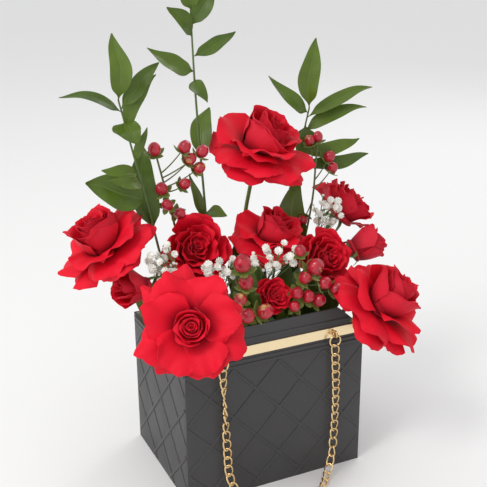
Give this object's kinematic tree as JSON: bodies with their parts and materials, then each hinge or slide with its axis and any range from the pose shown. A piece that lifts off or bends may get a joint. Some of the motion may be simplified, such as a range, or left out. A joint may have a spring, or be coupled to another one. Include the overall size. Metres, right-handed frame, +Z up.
{
  "type": "flower box",
  "caption": "Card flower box shaped like a small handbag, with pressed quilting, a gold bar, a chain handle and a lift-out tray of foam holding roses, berries and foliage.",
  "frame": {"origin": "middle of the flat underside of the box", "axes": "+Z up, -Y towards the front face with the gold bar, +X to the right along the front"},
  "size_m": [0.3576, 0.2161, 0.508],
  "materials": {
    "black_card": "matte, pressed quilting",
    "gold_metal": "polished pale gold",
    "tray_plastic": "satin",
    "wet_foam": "open-cell foam",
    "red_petals": "velvet petals",
    "rose_stems": "satin",
    "green_leaves": "waxy",
    "red_berries": "glossy",
    "white_florets": "soft"
  },
  "bodies": {
    "box": {"back_panel": "black_card", "base_panel": "black_card", "eye_stud_left": "gold_metal", "eye_stud_right": "gold_metal", "front_panel": "black_card", "gold_bar": "gold_metal", "left_panel": "black_card", "right_panel": "black_card", "stud_nut_left": "gold_metal", "stud_nut_right": "gold_metal"},
    "arrangement": {"berries_back_left": "red_berries", "berries_back_right": "red_berries", "berries_front_left": "red_berries", "berries_front_right": "red_berries", "foam_block": "wet_foam", "foliage_left": "green_leaves", "foliage_middle": "green_leaves", "foliage_right": "green_leaves", "gypsophila_left": "white_florets", "gypsophila_middle": "white_florets", "gypsophila_middle_left": "white_florets", "gypsophila_right": "white_florets", "low_leaves": "green_leaves", "rose_back_right": "red_petals", "rose_far_left": "red_petals", "rose_front_left": "red_petals", "rose_front_right": "red_petals", "rose_front_small": "red_petals", "rose_left_bud": "red_petals", "rose_left_middle": "red_petals", "rose_middle": "red_petals", "rose_right_bud": "red_petals", "rose_right_middle": "red_petals", "rose_top": "red_petals", "stem_back_right": "rose_stems", "stem_far_left": "rose_stems", "stem_front_left": "rose_stems", "stem_front_right": "rose_stems", "stem_front_small": "rose_stems", "stem_left_bud": "rose_stems", "stem_left_middle": "rose_stems", "stem_middle": "rose_stems", "stem_right_bud": "rose_stems", "stem_right_middle": "rose_stems", "stem_top": "rose_stems", "water_tray": "tray_plastic"},
    "chain_handle": {"chain": "gold_metal", "jump_ring_left": "gold_metal", "jump_ring_right": "gold_metal"}
  },
  "joints": [
    {"name": "arrangement_lift", "type": "slide", "parent": "box", "child": "arrangement", "axis": [0, 0, 1], "range_m": [0, 0.19]},
    {"name": "handle_swing", "type": "hinge", "parent": "box", "child": "chain_handle", "pos_m": [0, -0.081, 0.15885], "axis": [-1, 0, 0], "range_deg": [0, 25]}
  ]
}
